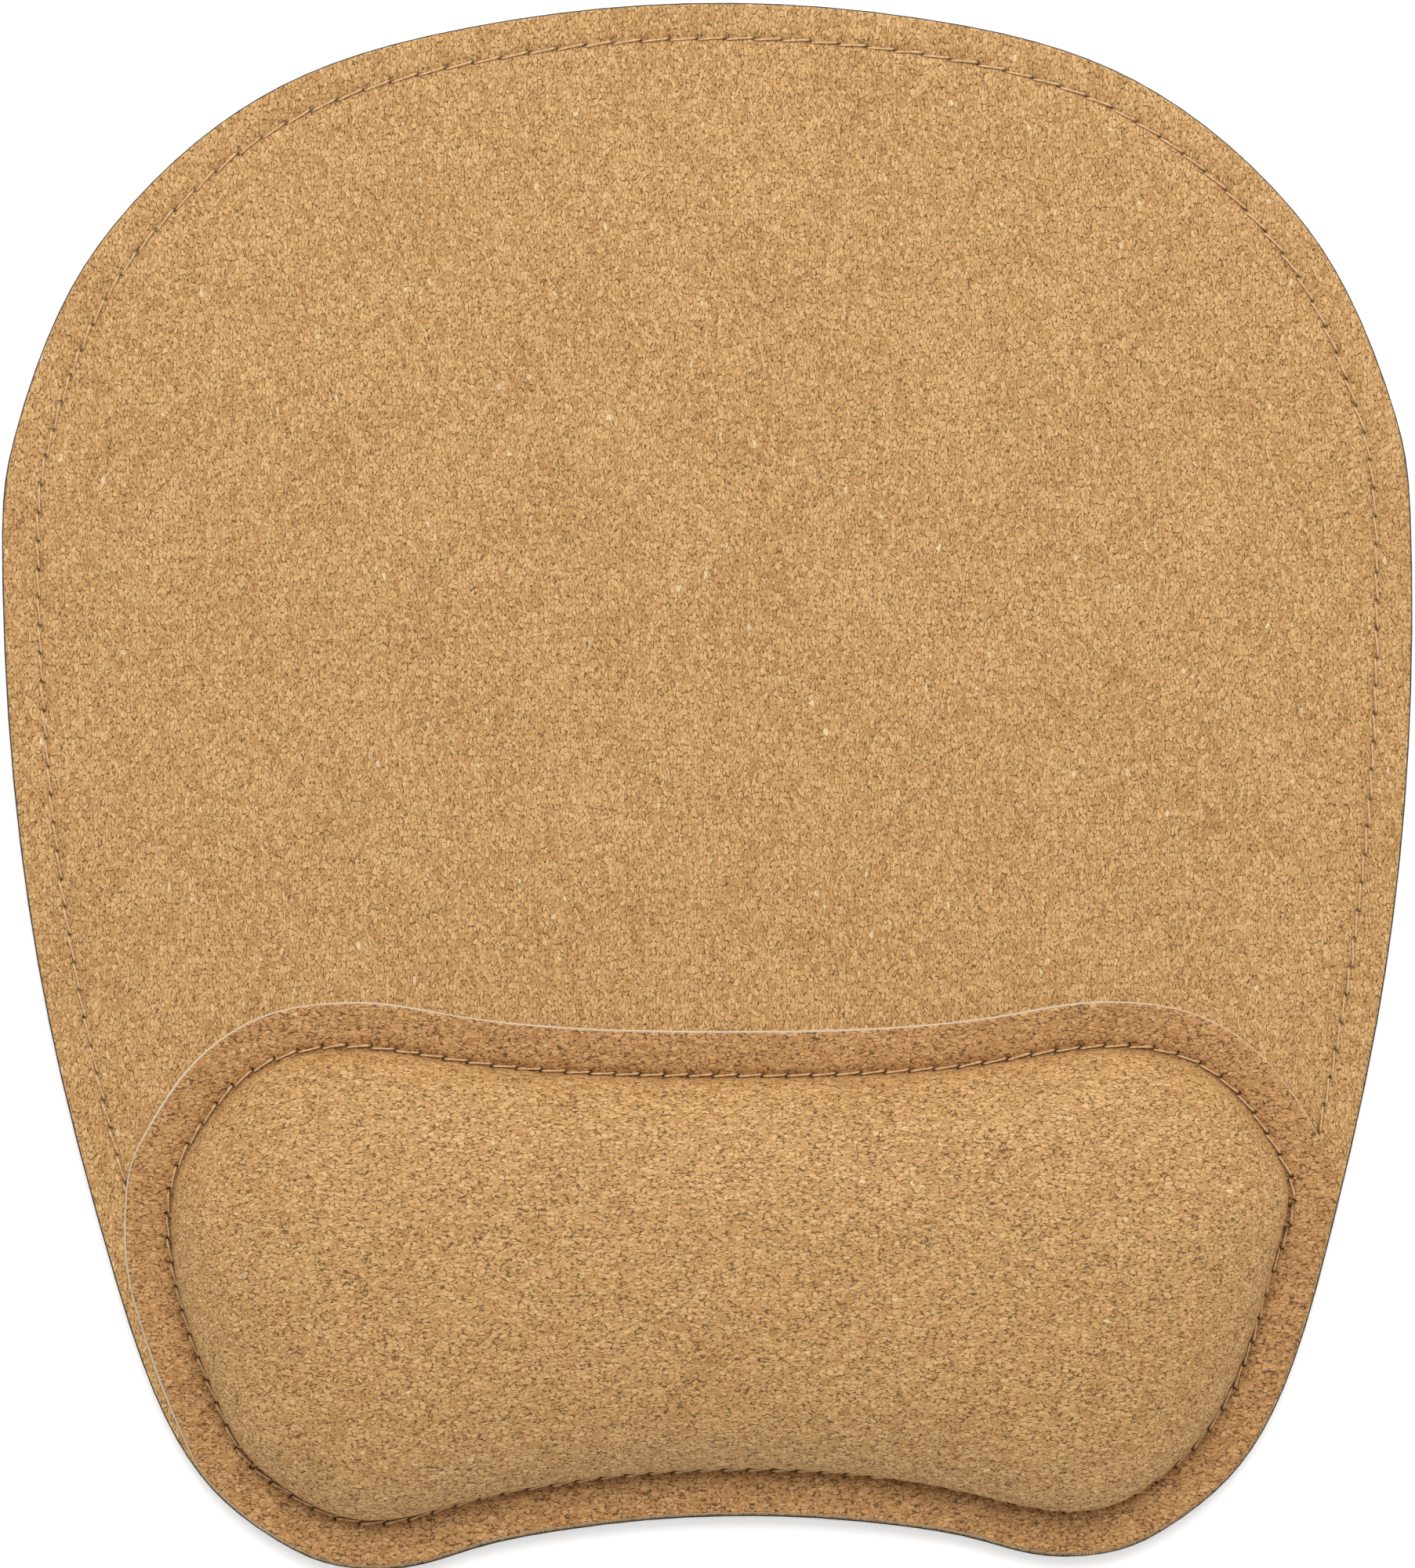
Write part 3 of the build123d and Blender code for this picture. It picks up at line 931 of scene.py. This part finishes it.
def seam_of_stitches(name, node, thread, level, material):
    """Copies one stitch along a seam and joins the copies."""
    places = along_seam(stitch_places(node))
    pitch = seam_pitch(places)
    model = one_stitch(thread, pitch)
    copies = []
    for number, (middle, direction, _) in enumerate(places):
        copy = model.copy()
        copy.data = model.data.copy()
        chance = noise.noise((number * 0.73, 4.2, 1.7))
        heading = math.atan2(direction[1], direction[0])
        turn = heading + thread.slant * (1 + UNEVEN_SLANT * chance)
        copy.location = (middle[0], middle[1], level + UNEVEN_HEIGHT * chance)
        copy.rotation_euler = (UNEVEN_ROLL * chance, 0, turn)
        copy.scale = (1, 1 + UNEVEN_WIDTH * chance, 1)
        bpy.context.collection.objects.link(copy)
        copies.append(copy)
    bpy.data.objects.remove(model)
    nothing_selected()
    for copy in copies:
        copy.select_set(True)
    bpy.context.view_layer.objects.active = copies[0]
    bpy.ops.object.join()
    bpy.ops.object.transform_apply(location=True, rotation=True, scale=True)
    piece = bpy.context.object
    piece.name = piece.data.name = name
    finished(piece, [node], material)


# ---- operators ----------------------------------------------------------------------

FLOOR_SIZE = 6
FLOOR_DROP = 0.05 * MM
FLOOR_ROUGHNESS = 0.9
LAMP_SIZE = (1.1, 0.7)
LAMP_PLACE = (0.05, 0.75, 1.05)


class DESKMAT_OT_mat(bpy.types.Operator):
    """Models the mat's cork sheet"""

    bl_idname = "desk_mat.mat"
    bl_label = "Mat cork"

    def execute(self, context):
        scene = context.scene
        mat_cork_skin(scene.desk_mat, cork("mat_cork_skin", scene.desk_mat_cork, False, "2D"))
        return {"FINISHED"}


class DESKMAT_OT_rest(bpy.types.Operator):
    """Models the wrist rest's cover, lining and filling"""

    bl_idname = "desk_mat.rest"
    bl_label = "Wrist rest"

    def execute(self, context):
        scene = context.scene
        cover, rings = rest_surface(scene.desk_mat_rest)
        rest_filling(cover, rings, foam("cushion_filling", FILLING_SHADE))
        lining = inner_copy(cover, "rest_lining", LINING_DEPTH)
        fray_rim(lining, rings, scene.desk_mat_rest.fray)
        thicken(lining, LINING_THICKNESS)
        fabric = woven("lining_fabric", LINING_SHADE)
        finished(lining, ["rest_backing"], fabric)
        thicken(cover, COVER_THICKNESS)
        skin = cork("rest_cork_skin", scene.desk_mat_cork, True, "3D")
        finished(cover, ["rest_cork"], skin)
        return {"FINISHED"}


class DESKMAT_OT_stitches(bpy.types.Operator):
    """Sews the edge seam and the rest's seam"""

    bl_idname = "desk_mat.stitches"
    bl_label = "Stitches"

    def execute(self, context):
        scene = context.scene
        thread = scene.desk_mat_thread
        material = twisted_thread("sewing_thread", thread.thread_colour)
        mat_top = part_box("mat_cork")[1].z - scene.desk_mat.furrow_depth
        seam_of_stitches("edge_stitching", "edge_needle_thread", thread, mat_top, material)
        rest_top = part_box("rest_needle_thread")[1].z - scene.desk_mat_rest.valley
        seam_of_stitches("rest_stitching", "rest_needle_thread", thread, rest_top, material)
        return {"FINISHED"}


class DESKMAT_OT_hidden_layers(bpy.types.Operator):
    """Gives the layers under the cork their materials"""

    bl_idname = "desk_mat.hidden_layers"
    bl_label = "Layers below"

    def execute(self, context):
        thread = twisted_thread("bobbin_thread", context.scene.desk_mat_thread.thread_colour)
        finishes = {
            "base_sheet": ribbed_rubber("base_rubber_relief", RUBBER_SHADE),
            "core_sheet": foam("core_foam_cells", CORE_SHADE),
            "mat_backing": woven("backing_weave", BACKING_SHADE),
            "edge_bobbin_thread": thread,
            "rest_bobbin_thread": thread,
        }
        for node, material in finishes.items():
            layer = NODES[node]
            layer.data.materials.clear()
            layer.data.materials.append(material)
        return {"FINISHED"}


class DESKMAT_OT_studio(bpy.types.Operator):
    """Sets out the floor, the lights and the camera"""

    bl_idname = "desk_mat.studio"
    bl_label = "Studio"

    def execute(self, context):
        scene = context.scene
        studio = scene.desk_mat_studio
        nothing_selected()
        bpy.ops.mesh.primitive_plane_add(size=FLOOR_SIZE, location=(0, 0, -FLOOR_DROP))
        floor = context.object
        floor.name = floor.data.name = "floor"
        paint = Shading("floor_paint")
        paint.put(paint.shader, "Emission Color", solid(WHITE))
        paint.put(paint.shader, "Emission Strength", studio.floor_glow)
        floor.data.materials.append(paint.finish(solid(studio.floor_colour), FLOOR_ROUGHNESS))

        lamp = bpy.data.lights.new("key", "AREA")
        lamp.shape = "RECTANGLE"
        lamp.size, lamp.size_y = LAMP_SIZE
        lamp.energy = studio.key
        key = bpy.data.objects.new("key", lamp)
        place = Vector(LAMP_PLACE)
        key.location = place
        key.rotation_euler = (-place).to_track_quat("-Z", "Y").to_euler()
        context.collection.objects.link(key)

        world = bpy.data.worlds.new("surroundings")
        scene.world = world
        world.use_nodes = True
        sky = world.node_tree.nodes["Background"]
        sky.inputs["Color"].default_value = solid(WHITE)
        sky.inputs["Strength"].default_value = studio.fill

        view = bpy.data.cameras.new("camera")
        view.sensor_fit = "HORIZONTAL"
        view.lens = view.sensor_width * studio.camera_height / studio.field_width
        camera = bpy.data.objects.new("camera", view)
        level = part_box("mat_cork")[1].z
        camera.location = Vector(studio.aim) + Vector((0, 0, level + studio.camera_height))
        camera.rotation_euler = (0, 0, studio.roll)
        context.collection.objects.link(camera)
        scene.camera = camera
        scene.view_settings.view_transform = "Standard"
        return {"FINISHED"}


OPERATORS = (
    DESKMAT_OT_mat,
    DESKMAT_OT_rest,
    DESKMAT_OT_stitches,
    DESKMAT_OT_hidden_layers,
    DESKMAT_OT_studio,
)
SETTINGS = {
    "desk_mat": MatSettings,
    "desk_mat_cork": CorkSettings,
    "desk_mat_rest": RestSettings,
    "desk_mat_thread": ThreadSettings,
    "desk_mat_studio": StudioSettings,
}


class DESKMAT_PT_panel(bpy.types.Panel):
    """Lists the mat's settings and operators"""

    bl_label = "Desk mat"
    bl_idname = "DESKMAT_PT_panel"
    bl_space_type = "VIEW_3D"
    bl_region_type = "UI"
    bl_category = "Desk mat"

    def draw(self, context):
        for name, kind in SETTINGS.items():
            group = getattr(context.scene, name)
            for setting in kind.__annotations__:
                self.layout.prop(group, setting)
        for operator in OPERATORS:
            self.layout.operator(operator.bl_idname)


CLASSES = (*SETTINGS.values(), *OPERATORS, DESKMAT_PT_panel)


def register():
    for kind in CLASSES:
        bpy.utils.register_class(kind)
    for name, kind in SETTINGS.items():
        setattr(bpy.types.Scene, name, bpy.props.PointerProperty(type=kind))


def unregister():
    for name in SETTINGS:
        delattr(bpy.types.Scene, name)
    for kind in reversed(CLASSES):
        bpy.utils.unregister_class(kind)


def main():
    register()
    bpy.ops.desk_mat.mat()
    bpy.ops.desk_mat.rest()
    bpy.ops.desk_mat.stitches()
    bpy.ops.desk_mat.hidden_layers()
    bpy.ops.desk_mat.studio()


if __name__ == "__main__":
    main()
